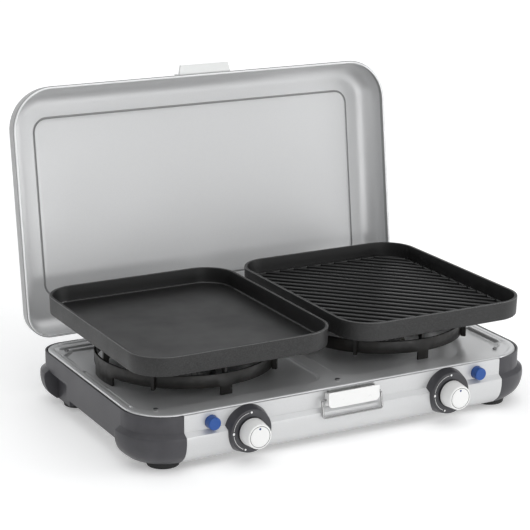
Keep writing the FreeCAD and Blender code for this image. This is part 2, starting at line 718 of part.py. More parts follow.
def lid_catch_tab():
    """Hooked tab on the lid's far edge for the latch bail, a little narrower at its tip."""
    y = LID_LENGTH
    plate = box(-TAB_HALF, TAB_HALF, y + GAP / 3, y + 1.4, -20, -3.6)
    bridge = box(-TAB_HALF, TAB_HALF, y + GAP / 3, y + 3.2, -5.0, -3.6)
    nose = box(-TAB_HALF, TAB_HALF, y + 1.8, y + 13.0, -5.0, -3.4)
    hook = box(-TAB_HALF, TAB_HALF, y + 11.6, y + 13.0, -8.0, -3.4)
    ends = [box(x, x + TAB_END, y + 1.8, y + 13.0, -8.0, -3.4) for x in (-TAB_HALF, TAB_HALF - TAB_END)]
    tab = united([plate, bridge, nose, hook] + ends)
    outline = [V(-TAB_HALF, y - 1, -30), V(TAB_HALF, y - 1, -30), V(TAB_HALF, y + 2, -30),
               V(TAB_HALF - TAB_TAPER, y + 14, -30), V(TAB_TAPER - TAB_HALF, y + 14, -30),
               V(-TAB_HALF, y + 2, -30)]
    return tab.common(polygon(outline).extrude(V(0, 0, 40)))


def lid_hinge_leaf():
    """Plate under the lid's lower wall with an arm and knuckle, in the flat lid frame."""
    angle = math.radians(LID_ANGLE)
    dy, dz = HINGE_Y - LID_FOOT.y, HINGE_Z - LID_FOOT.z
    ky = dy * math.sin(angle) + dz * math.cos(angle)
    kz = -(dy * math.cos(angle) - dz * math.sin(angle))
    x0, x1 = HINGE_X - 8, HINGE_X + 8
    plate = box(x0, x1, -1.3, -0.1, -22, -4.5)
    profile = [V(x0, -1.3, -4.5), V(x0, -1.3, -8.5), V(x0, -4.0, -5.0), V(x0, ky - 3.5, kz - 3),
               V(x0, ky + 1, kz + 4), V(x0, ky + 4, kz + 1.5), V(x0, -2.2, -3.0)]
    arm = polygon(profile).extrude(V(x1 - x0, 0, 0))
    knuckle = rod(KNUCKLE_R, V(x0, ky, kz), V(x1, ky, kz))
    leaf = united([plate, arm, knuckle])
    return leaf.cut(rod(HINGE_PIN_R + FIT, V(x0 - 1, ky, kz), V(x1 + 1, ky, kz)))


def base_hinge_leaf():
    """Bracket on the back panel: two knuckles and the stop that the open lid rests on."""
    y, z = HINGE_Y, HINGE_Z
    plate = box(HINGE_X - 22, HINGE_X + 22, BACK_Y, BACK_Y + 1.5, 47.5, 65)
    pieces = [plate]
    for x0 in (HINGE_X - 20, HINGE_X + 8 + GAP):
        x1 = x0 + 11.7
        pieces.append(box(x0, x1, BACK_Y + 0.5, y, z - KNUCKLE_R, z - 1))
        pieces.append(rod(KNUCKLE_R, V(x0, y, z), V(x1, y, z)))
    pieces.append(box(HINGE_X - 6, HINGE_X + 6, BACK_Y + 0.5, y + 18, 48.5, 50.0))
    pieces.append(box(HINGE_X - 6, HINGE_X + 6, y + 16.5, y + 18, 48.5, 61.2))
    leaf = united(pieces)
    return leaf.cut(rod(HINGE_PIN_R, V(HINGE_X - 30, y, z), V(HINGE_X + 30, y, z)))


def hinge_pin():
    y, z = HINGE_Y, HINGE_Z
    pin = rod(HINGE_PIN_R, V(HINGE_X - 22, y, z), V(HINGE_X + 22, y, z))
    return pin.fuse(rod(3.4, V(HINGE_X + 20.1, y, z), V(HINGE_X + 22, y, z)))


# ---- pan supports --------------------------------------------------------------------
RING_R = 108.0
RING_THICK = 2.5
RING_Z = (73.0, 88.5)
PLATE_BOTTOM = 111.8
FINGER_TOP = PLATE_BOTTOM - GAP
HOOK_Z = 71.5


def sector(angle, spread, z0, z1):
    """Wedge from the burner's axis out past the ring."""
    points = [V(0, 0, z0)]
    for a in (angle - spread, angle + spread):
        points.append(V(150 * math.cos(math.radians(a)), 150 * math.sin(math.radians(a)), z0))
    wedge = polygon(points).extrude(V(0, 0, z1 - z0))
    wedge.translate(V(BURNER_X, BURNER_Y, 0))
    return wedge


def radial_plate(profile, thick, angle):
    """Upright plate of (radius, z) points, turned round the burner's axis."""
    face = polygon([V(r, -thick / 2, z) for r, z in profile])
    plate = face.extrude(V(0, thick, 0))
    plate.rotate(V(0, 0, 0), Z_AXIS, angle)
    plate.translate(V(BURNER_X, BURNER_Y, 0))
    return plate


def pan_support():
    """Ring with two wide and two narrow legs, and short upright tabs inside it."""
    inner = RING_R - RING_THICK
    pieces = [ring_at_burner(RING_R, inner, *RING_Z)]
    low = PAN_WELL_Z + GAP
    legs = ring_at_burner(RING_R, inner, low, RING_Z[0])
    for angle, spread in ((0, 13), (90, 4), (180, 13), (270, 4)):
        pieces.append(legs.common(sector(angle, spread, low, RING_Z[0])))
        tab = [(inner + 0.5, 78), (inner + 0.5, FINGER_TOP), (88, FINGER_TOP), (84, FINGER_TOP - 5),
               (99, 88), (99, 78)]
        pieces.append(radial_plate(tab, 3.0, angle))
    return united(pieces)


def pan_fingers():
    """Four cross plates hooked over the ring, on the diagonals."""
    inner = RING_R - RING_THICK - 0.1
    outer = RING_R + 0.1
    profile = [(46, 104), (60, FINGER_TOP), (120, FINGER_TOP), (124, FINGER_TOP - 5), (124, 97),
               (outer + 6, 91), (outer + 6, HOOK_Z), (outer, HOOK_Z), (outer, RING_Z[1] + 0.1),
               (inner, RING_Z[1] + 0.1), (inner, 80), (inner - 7, 80), (inner - 10, 92), (60, 99)]
    return Part.makeCompound([radial_plate(profile, 4.0, 45 + 90 * i) for i in range(4)])


# ---- plates --------------------------------------------------------------------------
PLATE_TOP = 134.8
PLATE_X = (8.9, 258.4)
PLATE_Y = (-179.7, 124.2)
PLATE_R = 42.0
FLOOR_Z = 115.3
RIDGE_TOP = 119.3
RIDGE_PITCH = 14.5
RIDGE_COUNT = 14                # ridges on each side of the middle one, corner to corner
RIDGE_WIDTH = 5.5
RIDGE_INSET = 9.5               # ends of the ridges, from the plate's outline
RIDGE_REACH = 260.0             # half length of a ridge before its ends are trimmed


def plate_plan(grow):
    x0, x1 = PLATE_X[0] - grow, PLATE_X[1] + grow
    y0, y1 = PLATE_Y[0] - grow, PLATE_Y[1] + grow
    radius = PLATE_R + grow
    return [(x0, y0, radius), (x1, y0, radius), (x1, y1, radius), (x0, y1, radius)]


def pan_plate():
    """Shallow cast dish with tapered walls."""
    outer = layers(plate_plan, [(PLATE_BOTTOM, -2.4), (PLATE_BOTTOM + 1.6, -0.8), (PLATE_TOP, 0)])
    inner = layers(plate_plan, [(FLOOR_Z, -7.4), (FLOOR_Z + 2.0, -5.2), (PLATE_TOP + 0.1, -3.6)])
    return outer.cut(inner)


def grill_plate():
    """The dish with diagonal ridges on its floor."""
    bars = []
    middle = V((PLATE_X[0] + PLATE_X[1]) / 2, (PLATE_Y[0] + PLATE_Y[1]) / 2, 0)
    half = RIDGE_WIDTH / 2
    for i in range(-RIDGE_COUNT, RIDGE_COUNT + 1):
        offset = RIDGE_PITCH * i
        section = [(-half, FLOOR_Z - 1), (half, FLOOR_Z - 1), (half, RIDGE_TOP - 1.5),
                   (half - 1.2, RIDGE_TOP), (1.2 - half, RIDGE_TOP), (-half, RIDGE_TOP - 1.5)]
        bar = polygon([V(-RIDGE_REACH, offset + u, z) for u, z in section])
        bar = bar.extrude(V(2 * RIDGE_REACH, 0, 0))
        bar.rotate(V(0, 0, 0), Z_AXIS, -45)
        bar.translate(middle)
        bars.append(bar)
    field = slab(plate_plan(-RIDGE_INSET), FLOOR_Z - 1, RIDGE_TOP + 1)
    ridges = field.common(Part.makeCompound(bars))
    return pan_plate().fuse(ridges.Solids)


def build():
    add("hob_top_sheet", hob_top_sheet())
    add("base_tray", base_tray())
    add("front_panel", front_panel())
    add("back_panel", back_panel())
    add_pair("end_cap", end_cap())
    add("rubber_feet", feet())
    add("foot_screws", foot_screws())
    add("hob_screws", hob_screws())
    add_pair("burner_body", burner_body())
    add_pair("burner_head", burner_head())
    add_pair("burner_cap", burner_cap())
    add_pair("burner_clip", burner_clip())
    add_pair("spark_electrode", spark_electrode())
    add_pair("gas_valve", gas_valve())
    add_pair("valve_bracket", valve_bracket())
    add_pair("valve_plunger", valve_plunger())
    add_pair("valve_spindle", valve_spindle())
    add_pair("injector", injector())
    add("gas_pipe_main", gas_pipe_main())
    add("gas_pipe_cross", gas_pipe_cross())
    add("gas_inlet_fitting", gas_inlet_fitting())
    add_pair("igniter_body", igniter_body())
    add_pair("igniter_button", igniter_button())
    add_pair("ignition_lead", ignition_lead())
    add_pair("knob_bezel", knob_bezel())
    add_pair("knob", knob())
    add("latch_bracket", latch_bracket())
    add("latch_lever", latch_lever())
    add("latch_bail", latch_bail())
    add("lid_shell", stand_up(lid_shell()))
    add("lid_catch_tab", stand_up(lid_catch_tab()))
    add("lid_hinge_leaves", both_sides(stand_up(lid_hinge_leaf())))
    add("base_hinge_leaves", both_sides(base_hinge_leaf()))
    add("hinge_pins", both_sides(hinge_pin()))
    add_pair("pan_support", pan_support())
    add_pair("pan_fingers", pan_fingers())
    add("griddle_plate", mirrored(pan_plate()))
    add("grill_plate", grill_plate())


def export():
    os.makedirs("parts", exist_ok=True)
    for name, shape in NODES.items():
        shape.exportStep("parts/" + name + ".step")
    bounds = Part.makeCompound(list(NODES.values())).BoundBox
    print(len(NODES), "nodes; box", bounds)


build()
export()
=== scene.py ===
"""Looks of a folding two-burner camp grill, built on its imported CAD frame.

Everything is in metres, with +Z up and -Y towards the user. After the finishes, each section makes one
group of visible pieces, placed by the frame's boxes and joints. The last section calls them in turn.
"""

import json
import math
from collections import namedtuple

import bpy
from mathutils import Matrix, Vector
from mathutils.geometry import delaunay_2d_cdt


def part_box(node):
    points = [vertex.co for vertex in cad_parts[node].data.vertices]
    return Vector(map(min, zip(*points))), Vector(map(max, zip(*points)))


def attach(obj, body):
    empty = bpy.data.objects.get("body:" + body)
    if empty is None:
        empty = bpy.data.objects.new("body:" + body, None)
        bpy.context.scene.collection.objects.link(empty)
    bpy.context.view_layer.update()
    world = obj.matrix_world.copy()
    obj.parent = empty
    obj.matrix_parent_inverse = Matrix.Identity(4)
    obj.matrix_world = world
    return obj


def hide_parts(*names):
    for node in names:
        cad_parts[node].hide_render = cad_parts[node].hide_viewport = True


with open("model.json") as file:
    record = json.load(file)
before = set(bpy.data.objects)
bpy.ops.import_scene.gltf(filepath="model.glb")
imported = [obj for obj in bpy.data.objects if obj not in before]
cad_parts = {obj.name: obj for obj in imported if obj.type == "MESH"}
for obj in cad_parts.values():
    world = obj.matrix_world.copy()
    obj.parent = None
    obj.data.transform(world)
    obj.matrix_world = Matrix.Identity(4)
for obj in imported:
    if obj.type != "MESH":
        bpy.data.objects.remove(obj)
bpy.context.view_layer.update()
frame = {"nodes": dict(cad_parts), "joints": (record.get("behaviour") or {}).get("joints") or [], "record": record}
MM = 0.001
SIDES = ("left", "right")


# ---- mesh helpers ---------------------------------------------------------------------
def new_piece(name, points, faces, material, body, slot, sharp=40.0):
    """Mesh object from points in metres, smooth except at edges sharper than sharp degrees."""
    mesh = bpy.data.meshes.new(name)
    mesh.from_pydata([tuple(p) for p in points], [], faces)
    mesh.validate()
    mesh.shade_smooth()
    mesh.set_sharp_from_angle(angle=math.radians(sharp))
    mesh.materials.append(material)
    piece = bpy.data.objects.new(name, mesh)
    bpy.context.scene.collection.objects.link(piece)
    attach(piece, body)
    return piece


def merged(parts):
    """One (points, faces) from several."""
    points, faces = [], []
    for more_points, more_faces in parts:
        first = len(points)
        points += more_points
        faces += [[first + i for i in face] for face in more_faces]
    return points, faces


def loft_faces(rings, size):
    """Quads between successive rings of size points, with a face over each end."""
    faces = [list(range(size))[::-1]]
    for ring in range(rings - 1):
        low, high = ring * size, (ring + 1) * size
        for i in range(size):
            after = (i + 1) % size
            faces.append([low + i, low + after, high + after, high + i])
    faces.append([(rings - 1) * size + i for i in range(size)])
    return faces


def banded_loft(name, bands, body, slot, sharp=40.0):
    """Closed loft through bands of (rings, material).

    A band's material covers the faces from its own rings up to the next band's first ring.
    """
    rings = [ring for band, _ in bands for ring in band]
    looks = [material for band, material in bands for _ in band]
    size = len(rings[0])
    points = [p for ring in rings for p in ring]
    piece = new_piece(name, points, loft_faces(len(rings), size), looks[0], body, slot, sharp)
    slots = list(dict.fromkeys(looks))
    for material in slots[1:]:
        piece.data.materials.append(material)
    for face in piece.data.polygons:
        face.material_index = slots.index(looks[min(face.vertices) // size])
    return piece


def lathe(name, bands, centre, body, slot, segments=96):
    """Piece turned about the Y axis, from bands of ((radius, distance) points, material)."""
    along = Vector((0, 1, 0))
    side = along.orthogonal().normalized()
    other = along.cross(side)
    angles = [2 * math.pi * k / segments for k in range(segments)]
    spokes = [side * math.cos(a) + other * math.sin(a) for a in angles]

    def ring(radius, distance):
        return [centre + along * distance + spoke * radius for spoke in spokes]

    turned = [([ring(*place) for place in profile], material) for profile, material in bands]
    return banded_loft(name, turned, body, slot)


def outline(corners, grow, per_corner, spacing=None):
    """Points round a polygon of (x, y, radius) corners, anticlockwise, moved outward by grow."""
    points = []
    count = len(corners)
    smallest = 0.02 * MM
    for i, (x, y, radius) in enumerate(corners):
        here = Vector((x, y))
        to_last = (Vector(corners[i - 1][:2]) - here).normalized()
        to_next = (Vector(corners[(i + 1) % count][:2]) - here).normalized()
        half = to_last.angle(to_next) / 2
        middle = here + (to_last + to_next).normalized() * (radius / math.sin(half))
        first = here + to_last * (radius / math.tan(half)) - middle
        turn = math.pi - 2 * half
        start = math.atan2(first.y, first.x)
        reach = max(radius + grow, smallest)
        for k in range(per_corner + 1):
            a = start + turn * k / per_corner
            points.append(Vector((middle.x + reach * math.cos(a), middle.y + reach * math.sin(a))))
    return subdivided(points, spacing) if spacing else points


def subdivided(points, spacing):
    """The closed loop with its long stretches cut into steps of about spacing."""
    dense = []
    for i, here in enumerate(points):
        after = points[(i + 1) % len(points)]
        steps = max(1, round((after - here).length / spacing))
        dense += [here.lerp(after, k / steps) for k in range(steps)]
    return dense


def rectangle(x0, x1, y0, y1, near, far):
    """Corners of a rectangle with radius near at y0 and far at y1."""
    return [(x0, y0, near), (x1, y0, near), (x1, y1, far), (x0, y1, far)]


def arc_steps(centre, radius, start, end, count):
    """Points (u, w) on an arc, angles in degrees."""
    steps = []
    for k in range(count + 1):
        a = math.radians(start + (end - start) * k / count)
        steps.append((centre[0] + radius * math.cos(a), centre[1] + radius * math.sin(a)))
    return steps


def circle(x, y, radius, count):
    """Points round a circle in the plan."""
    angles = [2 * math.pi * k / count for k in range(count)]
    return [Vector((x + radius * math.cos(a), y + radius * math.sin(a))) for a in angles]


# ---- shader helpers -------------------------------------------------------------------
def shader(name, colour, roughness, metallic=0.0):
    """New material and its Principled node."""
    material = bpy.data.materials.new(name)
    material.use_nodes = True
    surface = material.node_tree.nodes["Principled BSDF"]
    surface.inputs["Base Color"].default_value = (*colour, 1)
    surface.inputs["Roughness"].default_value = roughness
    surface.inputs["Metallic"].default_value = metallic
    return material, surface


def noise(material, scale, detail, rough=0.5, stretch=(1, 1, 1)):
    """Noise texture on object coordinates, so that its grain has a real size."""
    nodes, links = material.node_tree.nodes, material.node_tree.links
    place = nodes.new("ShaderNodeTexCoord")
    mapping = nodes.new("ShaderNodeMapping")
    mapping.inputs["Scale"].default_value = stretch
    texture = nodes.new("ShaderNodeTexNoise")
    texture.inputs["Scale"].default_value = scale
    texture.inputs["Detail"].default_value = detail
    texture.inputs["Roughness"].default_value = rough
    links.new(place.outputs["Object"], mapping.inputs["Vector"])
    links.new(mapping.outputs["Vector"], texture.inputs["Vector"])
    return texture


def vary_colour(material, surface, texture, dark, light, low=0.35, high=0.65):
    """Base colour from dark to light between the noise values low and high."""
    nodes, links = material.node_tree.nodes, material.node_tree.links
    ramp = nodes.new("ShaderNodeValToRGB")
    ends = ramp.color_ramp.elements
    for end, position, colour in zip(ends, (low, high), (dark, light)):
        end.position = position
        end.color = (*colour, 1)
    links.new(texture.outputs["Fac"], ramp.inputs["Fac"])
    links.new(ramp.outputs["Color"], surface.inputs["Base Color"])


def spread_over(material, from_min, from_max, to_min, to_max):
    """Map Range node between two ranges."""
    spread = material.node_tree.nodes.new("ShaderNodeMapRange")
    spread.inputs["From Min"].default_value = from_min
    spread.inputs["From Max"].default_value = from_max
    spread.inputs["To Min"].default_value = to_min
    spread.inputs["To Max"].default_value = to_max
    return spread


def vary_roughness(material, surface, texture, low, high):
    """Roughness from low to high over the noise's middle range."""
    links = material.node_tree.links
    spread = spread_over(material, 0.3, 0.7, low, high)
    links.new(texture.outputs["Fac"], spread.inputs["Value"])
    links.new(spread.outputs["Result"], surface.inputs["Roughness"])


def bump(material, surface, texture, depth):
    """Surface relief of the noise, depth in metres."""
    nodes, links = material.node_tree.nodes, material.node_tree.links
    relief = nodes.new("ShaderNodeBump")
    relief.inputs["Strength"].default_value = 1.0
    relief.inputs["Distance"].default_value = depth
    links.new(texture.outputs["Fac"], relief.inputs["Height"])
    links.new(relief.outputs["Normal"], surface.inputs["Normal"])


def grey(value):
    """Colour without a hue."""
    return (value, value, value)


def scaled(colour, factor):
    """The colour made lighter or darker, with no channel over 1."""
    return [min(1, c * factor) for c in colour]


# ---- finishes -------------------------------------------------------------------------
def sheet_paint(name, tone, roughness, metallic):
    """Satin silver paint: fine flakes, a slow change of roughness, and slight orange peel."""
    material, surface = shader(name, grey(tone), roughness, metallic)
    cool = (tone * 0.995, tone, tone * 1.005)
    flakes = noise(material, 2600, 3)
    vary_colour(material, surface, flakes, scaled(cool, 0.95), scaled(cool, 1.04))
    vary_roughness(material, surface, noise(material, 9, 4), roughness - 0.03, roughness + 0.04)
    bump(material, surface, noise(material, 420, 2), 0.012 * MM)
    return material


def moulded(name, colour, roughness, grain_scale=1500, grain_depth=0.05, specular=0.5):
    """Moulded plastic or rubber with a fine spark-eroded grain, its depth in millimetres."""
    material, surface = shader(name, colour, roughness)
    surface.inputs["Specular IOR Level"].default_value = specular
    grain = noise(material, grain_scale, 3, 0.6)
    clouds = noise(material, 60, 4)
    vary_colour(material, surface, clouds, scaled(colour, 0.93), scaled(colour, 1.07))
    vary_roughness(material, surface, noise(material, 30, 3), roughness - 0.04, roughness + 0.05)
    bump(material, surface, grain, grain_depth * MM)
    return material


def gloss(name, colour, roughness):
    """Polished moulding with faint flow marks."""
    material, surface = shader(name, colour, roughness)
    vary_roughness(material, surface, noise(material, 140, 3), roughness - 0.03, roughness + 0.05)
    bump(material, surface, noise(material, 260, 2), 0.006 * MM)
    return material


def bare_metal(name, colour, roughness, scale=500, stretch=(1, 1, 1)):
    """Unpainted metal with marks of its making, drawn out along one axis by stretch."""
    material, surface = shader(name, colour, roughness, 1.0)
    marks = noise(material, scale, 4, 0.6, stretch)
    vary_colour(material, surface, marks, scaled(colour, 0.86), scaled(colour, 1.08))
    vary_roughness(material, surface, noise(material, 90, 4), roughness - 0.06, roughness + 0.08)
    bump(material, surface, marks, 0.008 * MM)
    return material


def coating(name, dark, light, roughness, depth):
    """Sprayed non-stick coating: pale specks in black, and a soft sheen. Depth in millimetres."""
    material, surface = shader(name, light, roughness)
    specks = noise(material, 900, 4, 0.75)
    vary_colour(material, surface, specks, dark, light, 0.42, 0.72)
    vary_roughness(material, surface, noise(material, 22, 5), roughness - 0.05, roughness + 0.06)
    bump(material, surface, noise(material, 1300, 3), depth * MM)
    return material


def enamel(name, colour, roughness):
    """Vitreous enamel over rough steel: a thin brown cast and small pits."""
    material, surface = shader(name, colour, roughness)
    brown = [c * cast for c, cast in zip(colour, (1.5, 1.35, 1.1))]
    vary_colour(material, surface, noise(material, 45, 5, 0.6), scaled(colour, 0.7), brown)
    vary_roughness(material, surface, noise(material, 160, 4), roughness - 0.08, roughness + 0.1)
    bump(material, surface, noise(material, 700, 4), 0.05 * MM)
    return material


# One material for each slot of the record.
MATERIALS = {
    "hob_sheet": sheet_paint("hob_paint", 0.78, 0.3, 0.45),
    "tray_sheet": bare_metal("zinc_sheet", grey(0.52), 0.42, 120),
    "panel_sheet": sheet_paint("panel_paint", 0.64, 0.38, 0.4),
    "foot_rubber": moulded("foot_rubber", grey(0.018), 0.75, 900, 0.08),
    "screw_steel": bare_metal("zinc_screw", grey(0.6), 0.32),
    "screw_dark": bare_metal("hob_screw", grey(0.34), 0.34),
    "pipe_metal": bare_metal("drawn_tube", grey(0.62), 0.3, 300, (1, 8, 8)),
    "valve_brass": bare_metal("turned_brass", (0.72, 0.5, 0.2), 0.3),
    "latch_steel": bare_metal("latch_steel", grey(0.62), 0.3),
    "latch_white": gloss("latch_white", (0.86, 0.86, 0.85), 0.3),
    "wire_steel": bare_metal("bright_wire", grey(0.36), 0.14, 700),
    "lid_sheet": sheet_paint("lid_paint", 0.66, 0.38, 0.36),
    "catch_plastic": gloss("catch_plastic", (0.8, 0.81, 0.8), 0.34),
    "hinge_steel": bare_metal("hinge_steel", grey(0.55), 0.36),
    "plate_coating": coating("plate_outside", grey(0.006), grey(0.036), 0.5, 0.07),
    "cap_plastic": moulded("cap_plastic", (0.066, 0.065, 0.071), 0.36, specular=0.24),
    "burner_alloy": bare_metal("cast_alloy", grey(0.3), 0.5, 350),
    "burner_enamel": enamel("cap_enamel", (0.01, 0.01, 0.0095), 0.34),
    "ceramic_white": gloss("ceramic", (0.8, 0.78, 0.72), 0.28),
    "spindle_steel": bare_metal("spindle_steel", grey(0.6), 0.3),
    "igniter_plastic": moulded("igniter_plastic", grey(0.03), 0.5),
    "button_blue": gloss("button_blue", (0.008, 0.07, 0.3), 0.3),
    "lead_rubber": moulded("lead_sleeve", (0.35, 0.03, 0.02), 0.5),
    "bezel_plastic": moulded("bezel_plastic", (0.045, 0.0445, 0.05), 0.4, 1800, 0.03),
    "knob_plastic": gloss("knob_white", (0.84, 0.84, 0.83), 0.36),
    "support_enamel": enamel("support_enamel", (0.0062, 0.0055, 0.0048), 0.42),
}
# Finishes of single surfaces within a piece; some are darker or lighter copies of a finish that are painted shade
# or painted highlight.
# Darker lid paint: painted shade on the lid's outside, the step inside its rim and its groove.
LID_PAINTED_SHADE = sheet_paint("lid_painted_shade", 0.36, 0.36, 0.3)
# Lighter lid paint: a painted highlight along the rim's rolled bead.
LID_BEAD_PAINTED_HIGHLIGHT = sheet_paint("lid_bead_painted_highlight", 0.86, 0.3, 0.3)
COATING_IN = coating("plate_inside", grey(0.004), grey(0.01), 0.36, 0.012)
# Near-black coating: painted shade on the plates' inner walls.
COATING_WALL_PAINTED_SHADE = coating("plate_wall_painted_shade", grey(0.0012), grey(0.003), 0.46, 0.012)
# Light coating: a painted highlight along the plates' rim edge.
COATING_EDGE_PAINTED_HIGHLIGHT = coating("plate_edge_painted_highlight", grey(0.07), grey(0.14), 0.28, 0.01)
# Lighter, glossier coating: a painted highlight in the cove round the plates' floors.
COATING_COVE_PAINTED_HIGHLIGHT = coating("plate_cove_painted_highlight", grey(0.008), grey(0.018), 0.2, 0.004)
PRINT_WHITE = gloss("print_white", (0.85, 0.85, 0.84), 0.45)
PRINT_BLUE = gloss("print_blue", (0.01, 0.03, 0.16), 0.4)
RING_DARK = moulded("knob_ring", grey(0.05), 0.5)


# ---- CAD nodes that stay in view ------------------------------------------------------
WELD_REACH = 0.004 * MM
SOFT_ANGLE = math.radians(32)               # edges sharper than this are rounded
SOFT_NODES = [                              # (node, rounding width, segments)
    ("latch_lever", 0.35 * MM, 2),
    ("lid_catch_tab", 0.4 * MM, 3),
    ("front_panel", 0.6 * MM, 3),
    ("rubber_feet", 0.6 * MM, 3),
]
SOFT_TWINS = [                              # the same, for nodes that have a left and a right twin
    ("end_cap_", 0.5 * MM, 3),
    ("knob_bezel_", 0.5 * MM, 3),
    ("pan_support_", 0.35 * MM, 2),
    ("pan_fingers_", 0.4 * MM, 2),
]


def dress_frame():
    """Gives every CAD node the material of its slot."""
    for part in frame["record"]["subparts"]:
        node = frame["nodes"][part["node"]]
        node.data.materials.clear()
        node.data.materials.append(MATERIALS[part["material_slot"]])


def soften(node, width, segments):
    """Small rounded edges on a CAD node, as modifiers over its unchanged mesh."""
    piece = frame["nodes"][node]
    weld = piece.modifiers.new("weld", "WELD")
    weld.merge_threshold = WELD_REACH
    edge = piece.modifiers.new("bevel", "BEVEL")
    edge.width = width
    edge.segments = segments
    edge.limit_method = "ANGLE"
    edge.angle_limit = SOFT_ANGLE
    edge.harden_normals = True


def soften_frame():
    """Rounds the edges of the CAD nodes that are seen close up."""
    for node, width, segments in SOFT_NODES:
        soften(node, width, segments)
    for stem, width, segments in SOFT_TWINS:
        for side in SIDES:
            soften(stem + side, width, segments)


# ---- lid ------------------------------------------------------------------------------
LID_LEAN = math.radians(7.36)
LID_UP = Vector((0, math.sin(LID_LEAN), math.cos(LID_LEAN)))
LID_BEHIND = Vector((0, math.cos(LID_LEAN), -math.sin(LID_LEAN)))
LID_HINGE = Vector(next(joint["pos_m"] for joint in frame["joints"] if joint["name"] == "lid_hinge"))
LID_FOOT = LID_HINGE + Vector((0.0, 10.44 * MM, 7.17 * MM))     # middle of the opening's lower edge
LID_HALF = 264.8 * MM
LID_LENGTH = 309.2 * MM
LID_DEPTH = 38.0 * MM
LID_SHEET = 1.0 * MM
LID_FILLET = 25.0 * MM
LID_RADII = (30.0 * MM, 53.0 * MM)          # hinge side, latch side
LID_SMALLEST_RADIUS = 4.0 * MM
LID_CORNER_STEPS = 14
LID_TURN_STEPS = 14                         # along the fillet between wall and back
LID_WALL_END = 9.0 * MM                     # depth at which the rim's own section ends
EMBOSS_HALF = 226.0 * MM
EMBOSS_LOW, EMBOSS_HIGH = 42.0 * MM, 269.0 * MM
EMBOSS_RADIUS = 18.0 * MM
EMBOSS_GROOVE = [                           # (distance out from the line, depth) in millimetres
    (1.9, 0.0), (1.4, -0.06), (1.1, 0.1), (0.75, 1.05), (0.35, 1.5), (-0.35, 1.5),
    (-0.75, 1.0), (-1.2, 0.05), (-1.6, -0.15), (-6.0, -0.2),
]
GROOVE_REACH = 1.3                          # half the width of its dark line, in millimetres


def lid_point(x, y, depth):
    """From the flat lid (y up from the hinge edge, depth behind the opening) to the open lid."""
    return LID_FOOT + Vector((x, 0, 0)) + LID_UP * y + LID_BEHIND * depth


def lid_ring(inset, depth):
    """The lid's outline moved inward by inset, at a depth behind the opening."""
    near, far = (max(radius - inset, LID_SMALLEST_RADIUS) for radius in LID_RADII)
    half = LID_HALF - inset
    corners = rectangle(-half, half, inset, LID_LENGTH - inset, near, far)
    return [lid_point(p.x, p.y, depth) for p in outline(corners, 0, LID_CORNER_STEPS)]


def emboss_ring(grow, depth):
    """The line pressed into the lid's back, moved outward by grow."""
    corners = rectangle(-EMBOSS_HALF, EMBOSS_HALF, EMBOSS_LOW, EMBOSS_HIGH,
                        EMBOSS_RADIUS, EMBOSS_RADIUS)
    return [lid_point(p.x, p.y, depth) for p in outline(corners, grow, LID_CORNER_STEPS)]


def rim_bands():
    """Bands of (inset, depth) round the lid's rim: outer wall, shoulder, rolled bead, inner step."""
    wall = [(0.0, LID_WALL_END), (0.0, 4.6 * MM)]
    shoulder = [(-0.5 * MM, 3.9 * MM), (-0.95 * MM, 3.3 * MM), (-1.0 * MM, 1.9 * MM),
                (-0.8 * MM, 1.5 * MM), (-0.2 * MM, 1.5 * MM)]
    bead = arc_steps((1.2 * MM, 1.2 * MM), 1.2 * MM, 190, 350, 9)
    step = [bead.pop(), (2.2 * MM, 2.4 * MM), (1.2 * MM, 3.2 * MM), (LID_SHEET, 5.0 * MM)]
    # Painted shade on the outer wall, shoulder and inner step; a painted highlight on the bead.
    return [(wall + shoulder, LID_PAINTED_SHADE), (bead, LID_BEAD_PAINTED_HIGHLIGHT), (step, LID_PAINTED_SHADE)]


def lid_tray():
    """Pressed tray: grooved back, wide fillet, straight wall and a rolled rim.

    The outside, the step inside the rim and the groove seen from inside have a darker paint as painted shade.
    """
    inside = MATERIALS["lid_sheet"]
    turn = (LID_FILLET, LID_DEPTH - LID_FILLET)
    outer_turn = arc_steps(turn, LID_FILLET, 90, 180, LID_TURN_STEPS)
    inner_turn = arc_steps(turn, LID_FILLET - LID_SHEET, 180, 90, LID_TURN_STEPS)
    back = [emboss_ring(grow * MM, LID_DEPTH + depth * MM) for grow, depth in reversed(EMBOSS_GROOVE)]
    bands = [(back + [lid_ring(*place) for place in outer_turn], LID_PAINTED_SHADE)]
    bands += [([lid_ring(*place) for place in band], material) for band, material in rim_bands()]
    wall = [lid_ring(LID_SHEET, LID_WALL_END)]
    bands.append((wall + [lid_ring(*place) for place in inner_turn], inside))
    # Near the line the groove takes the darker paint as painted shade.
    for grow, depth in EMBOSS_GROOVE:
        material = LID_PAINTED_SHADE if abs(grow) < GROOVE_REACH else inside
        bands.append(([emboss_ring(grow * MM, LID_DEPTH - LID_SHEET + depth * MM)], material))
    lid = banded_loft("lid_tray", bands, "lid", "lid_sheet", sharp=60)
    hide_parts("lid_shell")


# ---- hob sheet ------------------------------------------------------------------------
Bead = namedtuple("Bead", "x0 y0 x1 y1 radius rise")
HOB_RADII = (49.4 * MM, 26.4 * MM)          # front and back corners
HOB_SHEET = 1.0 * MM
HOB_SKIRT = 4.8 * MM
HOB_GRID = 2.3 * MM
HOB_CORNER_STEPS = 16
RIM_FLAT = 6.0 * MM
RIM_SLOPE = 3.4 * MM
RIM_RISE = 2.0 * MM
RIM_ROUND = 1.6 * MM
EDGE_LOOPS = (0.0, 0.5 * MM, 1.1 * MM)      # loops of points, in from the outline
GRID_TO_EDGE = 2.2 * MM                     # how near the grid comes to the outline and to a hole
GRID_TO_HOLE = 0.9 * MM
FIELD_EDGE = (12.0 * MM, 246.0 * MM)        # from the middle of the hob
FIELD_REACH = (120.0 * MM, 111.0 * MM)      # in front of and behind the burner
FIELD_RADII = (22.0 * MM, 4.0 * MM)
